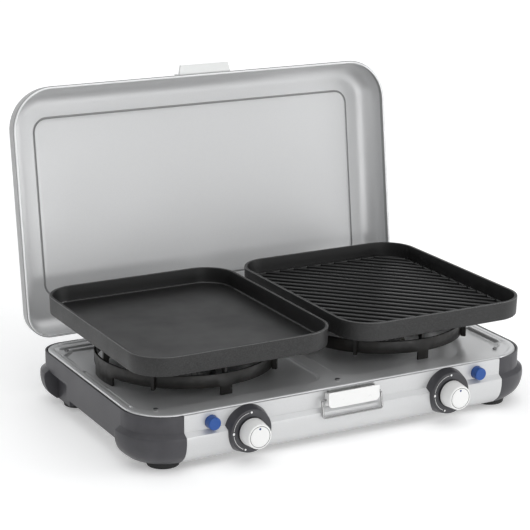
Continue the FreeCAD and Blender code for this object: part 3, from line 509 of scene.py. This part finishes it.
FIELD_CUT = 14.0 * MM                       # bevel of the field's back corners
FIELD_SLOPE = (-2.2 * MM, 0.4 * MM)         # from the field's edge, inward
FIELD_DROP = 3.0 * MM
WELL_DROP = 6.0 * MM
WELL_RADII = (45.0 * MM, 72.0 * MM)
BEAD_TOP = 0.35                             # share of a bead's radius at which it is full height
BACK_BEAD_RISE = 2.2 * MM
BACK_BEAD_RADIUS = 6.5 * MM
BACK_BEAD_END = 245.0 * MM
BACK_BEAD_INSET = 17.4 * MM                 # from the back edge
SIDE_BEAD_RADIUS = 2.8 * MM
SIDE_BEAD_INSET = 10.4 * MM                 # from the side edge
SIDE_BEAD_Y, SIDE_BEAD_RISE = (-66.0 * MM, -128.0 * MM), 2.0 * MM
SIDE_GROOVE_Y, SIDE_GROOVE_DEPTH = (72.0 * MM, 9.0 * MM), 1.5 * MM
SIDE_GROOVE_LEAN = 2.0 * MM
BURNER_HOLE = 37.0 * MM
SPARK_HOLE = 4.2 * MM
SPARK_CLEARANCE = 0.2 * MM
DRAIN_HOLE = 2.6 * MM
DRAIN_PLACE = (11.4 * MM, 4.0 * MM)         # in from the side, back from the middle
HOLE_LEAST_STEPS = 14
HOLE_SHARE = 0.995                          # share of a hole's radius within which faces are cut out
SAME_PLACE = 1e-7                           # distance at which the triangulation joins points
OUTLINE_REACH = 0.2 * MM                    # open edges this near to the outline belong to it
UPWARD = 0.1                                # least z of the normal of an upper face
NORMAL_STEP = 0.25 * MM


def smooth(edge_low, edge_high, value):
    """0 below edge_low, 1 above edge_high, eased between."""
    t = min(1.0, max(0.0, (value - edge_low) / (edge_high - edge_low)))
    return t * t * (3 - 2 * t)


def outside_rectangle(x, y, x0, x1, y0, y1, near, far):
    """Signed distance to a rectangle with corner radius near at y0 and far at y1."""
    middle_x, middle_y = (x0 + x1) / 2, (y0 + y1) / 2
    radius = far if y > middle_y else near
    dx = abs(x - middle_x) - (x1 - x0) / 2 + radius
    dy = abs(y - middle_y) - (y1 - y0) / 2 + radius
    return math.hypot(max(dx, 0), max(dy, 0)) + min(max(dx, dy), 0) - radius


def to_segment(x, y, x0, y0, x1, y1):
    """Distance to the segment between two points."""
    dx, dy = x1 - x0, y1 - y0
    t = ((x - x0) * dx + (y - y0) * dy) / (dx * dx + dy * dy)
    t = min(1.0, max(0.0, t))
    return math.hypot(x - x0 - t * dx, y - y0 - t * dy)


class HobForm:
    """Height of the pressed sheet at any place, from the boxes of the CAD sheet and burner."""

    def __init__(self):
        self.low, self.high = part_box("hob_top_sheet")
        cap_low, cap_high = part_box("burner_cap_right")
        self.burner = (cap_low + cap_high) / 2
        self.spark_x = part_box("spark_electrode_right")[1].x - SPARK_HOLE - SPARK_CLEARANCE
        self.deck = self.high.z - BACK_BEAD_RISE
        self.beads = self.bead_list()

    def bead_list(self):
        """Beads, and a groove that has a negative rise, on the right half."""
        side = self.high.x - SIDE_BEAD_INSET
        back = self.high.y - BACK_BEAD_INSET
        start, end = SIDE_GROOVE_Y
        near, far = SIDE_BEAD_Y
        return [Bead(0, back, BACK_BEAD_END, back, BACK_BEAD_RADIUS, BACK_BEAD_RISE),
                Bead(side, start, side - SIDE_GROOVE_LEAN, end,
                     SIDE_BEAD_RADIUS, -SIDE_GROOVE_DEPTH),
                Bead(side, near, side, far, SIDE_BEAD_RADIUS, SIDE_BEAD_RISE)]

    def edge(self, x, y):
        """Signed distance to the sheet's outline, negative inside."""
        return outside_rectangle(x, y, self.low.x, self.high.x, self.low.y, self.high.y, *HOB_RADII)

    def field(self, x, y):
        """Signed distance to the sunken field's outline, negative inside."""
        front = self.burner.y - FIELD_REACH[0]
        back = self.burner.y + FIELD_REACH[1]
        box_edge = outside_rectangle(x, y, *FIELD_EDGE, front, back, *FIELD_RADII)
        bevels = ((x + y) - (FIELD_EDGE[1] + back - FIELD_CUT),
                  (y - x) - (back - FIELD_EDGE[0] - FIELD_CUT))
        return max(box_edge, *(value * math.sqrt(0.5) for value in bevels))

    def height(self, x, y):
        """Height of the upper face; the left half mirrors the right."""
        x = abs(x)
        edge = self.edge(x, y)
        z = self.deck + RIM_RISE * smooth(-RIM_FLAT - RIM_SLOPE, -RIM_FLAT, edge)
        if edge > -RIM_ROUND:
            z -= RIM_ROUND - math.sqrt(max(0.0, RIM_ROUND ** 2 - (edge + RIM_ROUND) ** 2))
        z -= FIELD_DROP * smooth(*FIELD_SLOPE, -self.field(x, y))
        spoke = math.hypot(x - self.burner.x, y - self.burner.y)
        z -= WELL_DROP * (1 - smooth(*WELL_RADII, spoke))
        for bead in self.beads:
            away = to_segment(x, y, bead.x0, bead.y0, bead.x1, bead.y1)
            z += bead.rise * smooth(-bead.radius, -bead.radius * BEAD_TOP, -away)
        return z

    def normal(self, x, y):
        """Direction of the upper face, from the heights close by."""
        step = NORMAL_STEP
        dx = self.height(x + step, y) - self.height(x - step, y)
        dy = self.height(x, y + step) - self.height(x, y - step)
        return Vector((-dx, -dy, 2 * step)).normalized()

    def holes(self):
        """(x, y, radius) of every hole in the sheet."""
        found = []
        for side in (-1, 1):
            found.append((side * self.burner.x, self.burner.y, BURNER_HOLE))
            found.append((side * self.spark_x, self.burner.y, SPARK_HOLE))
            found.append((side * (self.high.x - DRAIN_PLACE[0]), DRAIN_PLACE[1], DRAIN_HOLE))
        return found


def hob_loops(form):
    """Closed loops of points along the sheet's outline and round its holes."""
    corners = rectangle(form.low.x, form.high.x, form.low.y, form.high.y, *HOB_RADII)
    loops = [outline(corners, -inset, HOB_CORNER_STEPS, HOB_GRID) for inset in EDGE_LOOPS]
    for x, y, radius in form.holes():
        count = max(HOLE_LEAST_STEPS, round(2 * math.pi * radius / HOB_GRID))
        loops.append(circle(x, y, radius, count))
    return loops


def hob_grid(form):
    """Points of a square grid, clear of the outline and of the holes."""
    width, length = form.high.x - form.low.x, form.high.y - form.low.y
    nx, ny = round(width / HOB_GRID), round(length / HOB_GRID)
    holes = form.holes()
    points = []
    for i in range(1, nx):
        for j in range(1, ny):
            x = form.low.x + width * i / nx
            y = form.low.y + length * j / ny
            clear = all(math.hypot(x - hx, y - hy) >= r + GRID_TO_HOLE for hx, hy, r in holes)
            if clear and form.edge(x, y) <= -GRID_TO_EDGE:
                points.append(Vector((x, y)))
    return points


def hob_plan(form):
    """Flat triangles of the sheet with its holes."""
    points, edges = [], []
    for loop in hob_loops(form):
        first = len(points)
        points += loop
        edges += [(first + k, first + (k + 1) % len(loop)) for k in range(len(loop))]
    points += hob_grid(form)
    flat, _, faces, *_ = delaunay_2d_cdt(points, edges, [], 0, SAME_PLACE)
    holes = form.holes()
    kept = []
    for face in faces:
        x, y = (sum(flat[i][axis] for i in face) / len(face) for axis in (0, 1))
        solid = all(math.hypot(x - hx, y - hy) > r * HOLE_SHARE for hx, hy, r in holes)
        if solid and form.edge(x, y) < 0:
            kept.append(list(face))
    return flat, kept


def open_edges(faces):
    """Directed edges that only one face uses."""
    used = {(face[i], face[(i + 1) % len(face)]) for face in faces for i in range(len(face))}
    return [(a, b) for a, b in used if (b, a) not in used]


def hob_rim(form, top, faces):
    """Skirt points and the faces of the turned-down edge and the hole walls.

    The points under top follow it in the mesh, so a top point's lower twin is len(top) further on.
    """
    count = len(top)
    points, rim_faces, skirt = [], [], {}
    for a, b in open_edges(faces):
        if form.edge(top[a].x, top[a].y) < -OUTLINE_REACH:
            rim_faces.append([b, a, a + count, b + count])
            continue
        for i in (a, b):
            if i not in skirt:
                skirt[i] = 2 * count + len(points)
                points.append(Vector((top[i].x, top[i].y, form.deck + RIM_RISE - HOB_SKIRT)))
        rim_faces.append([b, a, skirt[a], skirt[b]])
        rim_faces.append([skirt[b], skirt[a], a + count, b + count])
    return points, rim_faces


def set_hob_normals(mesh, form, top):
    """The form's own normals on the sheet's upper face, and flat ones elsewhere."""
    normals = [form.normal(p.x, p.y) for p in top]
    split = [None] * len(mesh.loops)
    for face in mesh.polygons:
        for i in face.loop_indices:
            vertex = mesh.loops[i].vertex_index
            on_top = face.normal.z > UPWARD and vertex < len(top)
            split[i] = normals[vertex] if on_top else face.normal.copy()
    mesh.normals_split_custom_set(split)


def hob_skin():
    """The pressed hob sheet as one smooth surface, with its thickness and turned-down edge."""
    form = HobForm()
    flat, faces = hob_plan(form)
    top = [Vector((p.x, p.y, form.height(p.x, p.y))) for p in flat]
    under = [p - Vector((0, 0, HOB_SHEET)) for p in top]
    under_faces = [[i + len(top) for i in reversed(face)] for face in faces]
    skirt, rim_faces = hob_rim(form, top, faces)
    skin = new_piece("hob_skin", top + under + skirt, faces + under_faces + rim_faces,
                     MATERIALS["hob_sheet"], "root", "hob_sheet", sharp=50)
    set_hob_normals(skin.data, form, top)
    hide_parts("hob_top_sheet")


# ---- cooking plates -------------------------------------------------------------------
PLATE_RADIUS = 42.0 * MM
PLATE_WALL = 3.6 * MM
PLATE_FLOOR = 3.5 * MM                      # floor thickness
PLATE_CORNER_STEPS = 12
PLATE_RIM_ROUND = 0.6 * MM
PLATE_FOOT_ROUND = 1.9 * MM
PLATE_COVE = 1.9 * MM
RIDGE_PITCH = 14.5 * MM
RIDGE_WIDTH = 5.5 * MM
RIDGE_HEIGHT = 4.0 * MM
RIDGE_ROUND = 1.4 * MM
RIDGE_INSET = 9.5 * MM                      # ends of the ridges, from the plate's outline
RIDGE_SHORTEST = 14.0 * MM
RIDGES_EACH_SIDE = 14
RIDGE_END_WIDTH = 0.6                       # share of the full width at no height
RIDGE_ENDS = [                              # (distance from the end, share of the full height)
    (0.0, 0.1), (0.5 * MM, 0.6), (1.2 * MM, 0.88), (2.4 * MM, 1.0),
]
CHORD_REACH = 220.0 * MM                    # half the length searched along each ridge
CHORD_STEPS = 1200


def plate_bands(height):
    """The dish's section in bands of (inset, height) points."""
    edge_r = PLATE_RIM_ROUND
    cove_out = PLATE_WALL + 1.5 * MM
    outside = [(14 * MM, 0.0), (3.0 * MM, 0.0)]
    outside += arc_steps((2.5 * MM, PLATE_FOOT_ROUND), PLATE_FOOT_ROUND, 270, 190, 5)
    outer_edge = arc_steps((edge_r, height - edge_r), edge_r, 180, 90, 4)
    inner_edge = arc_steps((PLATE_WALL - edge_r, height - edge_r), edge_r, 90, 10, 4)
    inner_edge.insert(0, outer_edge.pop())
    wall = [inner_edge.pop(), (PLATE_WALL + 0.9 * MM, height * 0.5)]
    cove = arc_steps((cove_out + PLATE_COVE, PLATE_FLOOR + PLATE_COVE), PLATE_COVE, 185, 270, 7)
    floor = [cove.pop(), (PLATE_WALL + 7 * MM, PLATE_FLOOR)]
    # The edge band is a painted highlight, the wall band painted shade and the cove band a painted highlight.
    return [(outside, MATERIALS["plate_coating"]), (outer_edge, COATING_EDGE_PAINTED_HIGHLIGHT),
            (inner_edge, MATERIALS["plate_coating"]), (wall, COATING_WALL_PAINTED_SHADE), (cove, COATING_COVE_PAINTED_HIGHLIGHT),
            (floor, COATING_IN)]


def plate_dish(name, node, body):
    """One cooking plate: a shallow dish with a painted highlight on its edge, steep walls in painted shade and a
    cove round its floor with a painted highlight.
    """
    low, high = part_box(node)
    corners = rectangle(low.x, high.x, low.y, high.y, PLATE_RADIUS, PLATE_RADIUS)

    def ring(inset, level):
        around = outline(corners, -inset, PLATE_CORNER_STEPS)
        return [Vector((p.x, p.y, low.z + level)) for p in around]

    sections = plate_bands(high.z - low.z)
    bands = [([ring(*place) for place in section], material) for section, material in sections]
    dish = banded_loft(name, bands, body, "plate_coating", sharp=50)
    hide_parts(node)


def ridge_profile():
    """Section of a ridge as (u, w): u across it, w up from the plate's floor."""
    half = RIDGE_WIDTH / 2
    right = [(half + 0.9 * MM, -0.4 * MM), (half + 0.35 * MM, 0.35 * MM), (half + 0.05 * MM, 1.1 * MM)]
    right += arc_steps((half - RIDGE_ROUND, RIDGE_HEIGHT - RIDGE_ROUND), RIDGE_ROUND, 0, 90, 4)
    return right + [(-u, w) for u, w in reversed(right)]


def chord(point, along, x0, x1, y0, y1, radius):
    """Where a line crosses a rounded rectangle: its lowest and highest distance, or None."""
    inside = []
    for k in range(CHORD_STEPS + 1):
        t = -CHORD_REACH + 2 * CHORD_REACH * k / CHORD_STEPS
        p = point + along * t
        dx = max(x0 + radius - p.x, p.x - x1 + radius, 0)
        dy = max(y0 + radius - p.y, p.y - y1 + radius, 0)
        if x0 <= p.x <= x1 and y0 <= p.y <= y1 and math.hypot(dx, dy) <= radius:
            inside.append(t)
    return (inside[0], inside[-1]) if inside else None


def ridge(centre, along, across, span, base):
    """Points and faces of one ridge between the distances in span, lower and narrower at its ends."""
    profile = ridge_profile()
    stations = [(span[0] + distance, share) for distance, share in RIDGE_ENDS]
    stations += [(span[1] - distance, share) for distance, share in reversed(RIDGE_ENDS)]
    points = []
    for distance, share in stations:
        width = RIDGE_END_WIDTH + (1 - RIDGE_END_WIDTH) * share
        for u, w in profile:
            p = centre + along * distance + across * (u * width)
            points.append(Vector((p.x, p.y, base + (w * share if w > 0 else w))))
    return points, loft_faces(len(stations), len(profile))


def grill_ridges():
    """Rounded ridges, slanting across the right plate's floor."""
    low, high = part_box("grill_plate")
    middle = ((low + high) / 2).xy
    along = Vector((math.sqrt(0.5), -math.sqrt(0.5)))
    across = Vector((math.sqrt(0.5), math.sqrt(0.5)))
    area = (low.x + RIDGE_INSET, high.x - RIDGE_INSET, low.y + RIDGE_INSET, high.y - RIDGE_INSET)
    ridges = []
    for i in range(-RIDGES_EACH_SIDE, RIDGES_EACH_SIDE + 1):
        centre = middle + across * (RIDGE_PITCH * i)
        span = chord(centre, along, *area, PLATE_RADIUS - RIDGE_INSET)
        if span and span[1] - span[0] >= RIDGE_SHORTEST:
            ridges.append(ridge(centre, along, across, span, low.z + PLATE_FLOOR))
    new_piece("grill_ridges", *merged(ridges), COATING_IN, "grill", "plate_coating", sharp=50)


# ---- knobs and bezels -----------------------------------------------------------------
AXIS_GAP = 0.02 * MM                        # radius at which a turned profile ends at its axis
KNOB_TAPER = 1.8 * MM
KNOB_FACE_ROUND = 1.5 * MM
KNOB_WALL = 3.0 * MM
KNOB_HOLLOW = 6.0 * MM
RING_INNER, RING_OUTER = 12.0 * MM, 12.6 * MM
RING_DEPTH = 0.5 * MM
DOT_RADIUS = 1.35 * MM
DOT_PLACE = Vector((0, 0, 9.4 * MM))        # from the middle of the knob's face
DOT_PROUD = 0.12 * MM
DOT_ROOT = 0.4 * MM                         # how far the dot goes into the knob
BEZEL_MARK_R = 22.3 * MM
MARK_PROUD = 0.06 * MM
MARK_LINE = 0.22 * MM                       # half the width of the printed arcs
MARK_GAP = 8.0                              # degrees between a dot's middle and the arc beside it
MARK_DOT_STEPS = 24
MARKS = [                                   # (degrees seen from the front, half height, half width)
    (90.0, 1.3 * MM, 1.3 * MM),             # off
    (180.0, 1.7 * MM, 1.3 * MM),            # high
    (250.0, 1.2 * MM, 1.1 * MM),            # low
]


def knob_bands(base_r, length):
    """A knob's section in bands of (radius, distance from the face): face, dark ring, rim and skirt."""
    white = MATERIALS["knob_plastic"]
    face_r = base_r - KNOB_TAPER
    lip, dip = 0.15 * MM, 0.12 * MM
    face = [(AXIS_GAP, dip), (8 * MM, 0.05 * MM), (RING_INNER - lip, 0)]
    groove = [(RING_INNER, dip), (RING_INNER, RING_DEPTH), (RING_OUTER, RING_DEPTH)]
    rest = [(RING_OUTER, dip), (RING_OUTER + lip, 0)]
    rest += arc_steps((face_r - KNOB_FACE_ROUND, KNOB_FACE_ROUND), KNOB_FACE_ROUND, 270, 355, 6)
    rest += [((face_r + base_r) / 2, length / 2), (base_r, length - 0.8 * MM),
             (base_r - 0.3 * MM, length - 0.15 * MM), (base_r - 1.0 * MM, length),
             (base_r - KNOB_WALL, length), (base_r - KNOB_WALL, length - KNOB_HOLLOW),
             (AXIS_GAP, length - KNOB_HOLLOW)]
    return [(face, white), (groove, RING_DARK), (rest, white)]


def knob_piece(side):
    """White grip with a dark ring let into its face, and a printed pointer dot."""
    node = "knob_" + side
    low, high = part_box(node)
    centre = Vector(((low.x + high.x) / 2, low.y, (low.z + high.z) / 2))
    bands = knob_bands((high.x - low.x) / 2, high.y - low.y)
    grip = lathe("knob_grip_" + side, bands, centre, node, "knob_plastic")
    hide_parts(node)
    dot = [(AXIS_GAP, -DOT_PROUD), (DOT_RADIUS - 0.2 * MM, -DOT_PROUD), (DOT_RADIUS, 0.02 * MM),
           (DOT_RADIUS, DOT_ROOT)]
    lathe("knob_dot_" + side, [(dot, PRINT_BLUE)], centre + DOT_PLACE, node, "button_blue", 32)


def arc_mark(centre, start, end, steps):
    """Printed arc between two angles, as points and faces."""
    points = []
    for k in range(steps + 1):
        a = math.radians(start + (end - start) * k / steps)
        for radius in (BEZEL_MARK_R + MARK_LINE, BEZEL_MARK_R - MARK_LINE):
            points.append(centre + Vector((radius * math.cos(a), 0, radius * math.sin(a))))
    return points, [[i, i + 1, i + 3, i + 2] for i in range(0, 2 * steps, 2)]


def dot_mark(centre, angle, half_height, half_width):
    """Printed dot at an angle, as points and one face."""
    a = math.radians(angle)
    middle = centre + Vector((math.cos(a), 0, math.sin(a))) * BEZEL_MARK_R
    around = [2 * math.pi * k / MARK_DOT_STEPS for k in range(MARK_DOT_STEPS)]
    points = [middle + Vector((half_width * math.cos(b), 0, half_height * math.sin(b))) for b in around]
    return points, [list(range(MARK_DOT_STEPS))]


def bezel_marks(side):
    """Printed dots and the arcs between them, on the bezel's flat face."""
    low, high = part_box("knob_" + side)
    face_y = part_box("knob_bezel_" + side)[0].y - MARK_PROUD
    centre = Vector(((low.x + high.x) / 2, face_y, (low.z + high.z) / 2))
    off, high_flame, low_flame = (angle for angle, *_ in MARKS)
    parts = [arc_mark(centre, off + MARK_GAP, high_flame - MARK_GAP, 40),
             arc_mark(centre, high_flame + MARK_GAP, low_flame - MARK_GAP, 30)]
    parts += [dot_mark(centre, *mark) for mark in MARKS]
    new_piece("bezel_print_" + side, *merged(parts), PRINT_WHITE, "root", "knob_plastic")


# ---- stage, lights, camera ------------------------------------------------------------
SWEEP_REACH, SWEEP_RISE, SWEEP_BEND = 9.0, 6.0, 2.5
FLOOR_GLOW = (0.3, 0.6)                     # emission near the object and far from it
GLOW_DISTANCES = (0.5, 2.6)
SKY_COLOUR = (0.97, 0.985, 1, 1)
SKY_STRENGTH = 0.36
Lamp = namedtuple("Lamp", "name place target width height watts")
LAMPS = [
    Lamp("top", (0.0, -0.5, 2.6), (0, -0.2, 0), 4.0, 3.2, 42),
    Lamp("front", (0.0, -2.8, 0.3), (0, 0, 0.1), 2.0, 0.5, 10),
    Lamp("high_front", (-0.3, -2.2, 1.7), (0, -0.1, 0.1), 1.0, 0.7, 4),
    Lamp("right", (2.4, -1.4, 0.9), (0, 0, 0.12), 1.2, 1.0, 19.5),
    Lamp("back", (0.2, 2.0, 1.9), (0, 0, 0.1), 2.2, 0.7, 4.7),
]
CAMERA_ANGLES = (-28.68, 16.09, 0.47)       # azimuth, elevation and roll in degrees
CAMERA_TARGET = Vector((-22.0, -19.0, 171.7)) * MM
CAMERA_DISTANCE = 2.1618
CAMERA_LENS = 121.42
CAMERA_SENSOR = 36.0


def area_light(lamp):
    """Rectangular area light that faces its target."""
    data = bpy.data.lights.new(lamp.name, "AREA")
    data.energy = lamp.watts
    data.shape = "RECTANGLE"
    data.size = lamp.width
    data.size_y = lamp.height
    light = bpy.data.objects.new(lamp.name, data)
    bpy.context.scene.collection.objects.link(light)
    light.location = lamp.place
    facing = Vector(lamp.target) - Vector(lamp.place)
    light.rotation_euler = facing.to_track_quat("-Z", "Y").to_euler()


def glow_with_distance(material, surface):
    """Emission that rises away from the middle, so that the floor stays white where the lamps fade."""
    nodes, links = material.node_tree.nodes, material.node_tree.links
    place = nodes.new("ShaderNodeTexCoord")
    length = nodes.new("ShaderNodeVectorMath")
    length.operation = "LENGTH"
    spread = spread_over(material, *GLOW_DISTANCES, *FLOOR_GLOW)
    links.new(place.outputs["Object"], length.inputs[0])
    links.new(length.outputs["Value"], spread.inputs["Value"])
    links.new(spread.outputs["Result"], surface.inputs["Emission Strength"])


def floor_paint():
    """Matt white floor, with a faint change of roughness."""
    material, surface = shader("studio_floor", grey(0.88), 0.75)
    vary_roughness(material, surface, noise(material, 30, 3), 0.7, 0.8)
    surface.inputs["Emission Color"].default_value = (1, 1, 1, 1)
    glow_with_distance(material, surface)
    return material


def studio_sweep():
    """Pale floor that curves up into a back wall."""
    bend_y = SWEEP_REACH - SWEEP_BEND
    profile = [(-SWEEP_REACH, 0.0), (0.0, 0.0)]
    profile += [(bend_y, 0.0)] + arc_steps((bend_y, SWEEP_BEND), SWEEP_BEND, 270, 360, 16)[1:]
    profile.append((SWEEP_REACH, SWEEP_RISE))
    points = [(x, y, z) for y, z in profile for x in (-SWEEP_REACH, SWEEP_REACH)]
    faces = [[2 * i, 2 * i + 1, 2 * i + 3, 2 * i + 2] for i in range(len(profile) - 1)]
    mesh = bpy.data.meshes.new("studio_sweep")
    mesh.from_pydata(points, [], faces)
    mesh.shade_smooth()
    mesh.materials.append(floor_paint())
    sweep = bpy.data.objects.new("studio_sweep", mesh)
    bpy.context.scene.collection.objects.link(sweep)


def sky():
    """Even, slightly cool light from all round."""
    world = bpy.data.worlds.new("studio")
    world.use_nodes = True
    background = world.node_tree.nodes["Background"]
    background.inputs["Color"].default_value = SKY_COLOUR
    background.inputs["Strength"].default_value = SKY_STRENGTH
    bpy.context.scene.world = world


def camera():
    """Camera that looks at its target from the left and above, slightly rolled."""
    azimuth, elevation, roll = (math.radians(a) for a in CAMERA_ANGLES)
    right = Vector((math.cos(azimuth), math.sin(azimuth), 0))
    back = Vector((math.sin(azimuth) * math.cos(elevation), -math.cos(azimuth) * math.cos(elevation),
                   math.sin(elevation)))
    up = back.cross(right)
    across = right * math.cos(roll) + up * math.sin(roll)
    top = up * math.cos(roll) - right * math.sin(roll)
    data = bpy.data.cameras.new("camera")
    data.lens = CAMERA_LENS
    data.sensor_width = CAMERA_SENSOR
    view = bpy.data.objects.new("camera", data)
    bpy.context.scene.collection.objects.link(view)
    turn = Matrix((across, top, back)).transposed().to_4x4()
    view.matrix_world = Matrix.Translation(CAMERA_TARGET + back * CAMERA_DISTANCE) @ turn
    bpy.context.scene.camera = view


# ---- build ----------------------------------------------------------------------------
dress_frame()
soften_frame()
lid_tray()
hob_skin()
plate_dish("griddle_dish", "griddle_plate", "griddle")
plate_dish("grill_dish", "grill_plate", "grill")
grill_ridges()
for side in SIDES:
    knob_piece(side)
    bezel_marks(side)
studio_sweep()
sky()
for lamp in LAMPS:
    area_light(lamp)
camera()
bpy.context.scene.view_settings.view_transform = "Standard"
